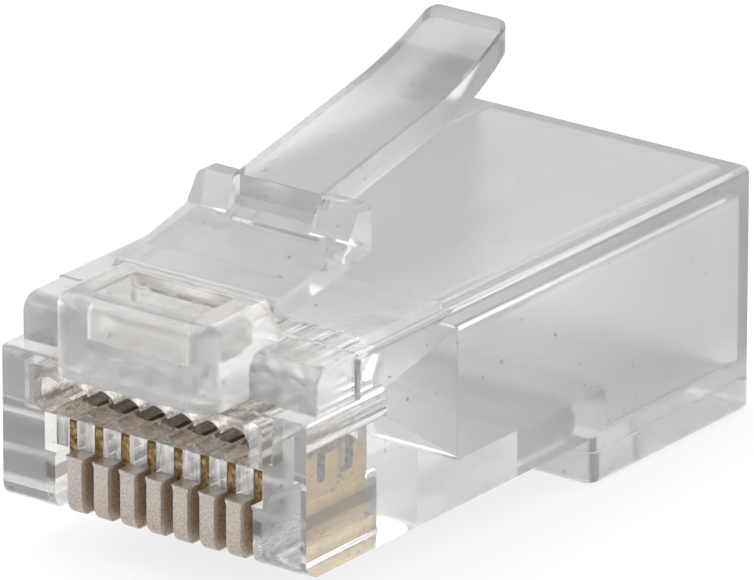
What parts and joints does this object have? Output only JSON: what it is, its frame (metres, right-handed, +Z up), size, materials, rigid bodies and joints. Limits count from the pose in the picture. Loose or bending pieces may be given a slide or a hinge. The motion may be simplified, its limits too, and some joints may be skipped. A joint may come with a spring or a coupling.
{
  "type": "modular plug",
  "caption": "Clear crimp-on modular plug with a sprung latch, gold-plated contact blades, pass-through wire holes and a cable clamp that is pressed in.",
  "frame": {"origin": "bottom centre of the bounding box, under the middle of the plug", "axes": "+Z up through the latch side, +Y from the nose toward the cable end, +X across the row of contacts"},
  "size_m": [0.012, 0.0248, 0.0141],
  "materials": {
    "clear_plastic": "clear, glossy",
    "gold_contact": "gold plated"
  },
  "bodies": {
    "housing": {"housing": "clear_plastic"},
    "latch": {"latch": "clear_plastic"},
    "cable_clamp": {"cable_clamp": "clear_plastic"},
    "contact_1": {"contact_1": "gold_contact"},
    "contact_2": {"contact_2": "gold_contact"},
    "contact_3": {"contact_3": "gold_contact"},
    "contact_4": {"contact_4": "gold_contact"},
    "contact_5": {"contact_5": "gold_contact"},
    "contact_6": {"contact_6": "gold_contact"},
    "contact_7": {"contact_7": "gold_contact"},
    "contact_8": {"contact_8": "gold_contact"}
  },
  "joints": [
    {"name": "latch_press", "type": "hinge", "parent": "housing", "child": "latch", "pos_m": [0, -0.00881, 0.0091], "axis": [-1, 0, 0], "range_deg": [0, 16.5], "stiffness_Nm_per_rad": 0.05},
    {"name": "cable_clamp_press", "type": "hinge", "parent": "housing", "child": "cable_clamp", "pos_m": [0, 0.00299, 0.00217], "axis": [-1, 0, 0], "range_deg": [0, 25]},
    {"name": "contact_1_crimp", "type": "slide", "parent": "housing", "child": "contact_1", "axis": [0, 0, 1], "range_m": [0, 0.0006]},
    {"name": "contact_2_crimp", "type": "slide", "parent": "housing", "child": "contact_2", "axis": [0, 0, 1], "range_m": [0, 0.0006]},
    {"name": "contact_3_crimp", "type": "slide", "parent": "housing", "child": "contact_3", "axis": [0, 0, 1], "range_m": [0, 0.0006]},
    {"name": "contact_4_crimp", "type": "slide", "parent": "housing", "child": "contact_4", "axis": [0, 0, 1], "range_m": [0, 0.0006]},
    {"name": "contact_5_crimp", "type": "slide", "parent": "housing", "child": "contact_5", "axis": [0, 0, 1], "range_m": [0, 0.0006]},
    {"name": "contact_6_crimp", "type": "slide", "parent": "housing", "child": "contact_6", "axis": [0, 0, 1], "range_m": [0, 0.0006]},
    {"name": "contact_7_crimp", "type": "slide", "parent": "housing", "child": "contact_7", "axis": [0, 0, 1], "range_m": [0, 0.0006]},
    {"name": "contact_8_crimp", "type": "slide", "parent": "housing", "child": "contact_8", "axis": [0, 0, 1], "range_m": [0, 0.0006]}
  ]
}
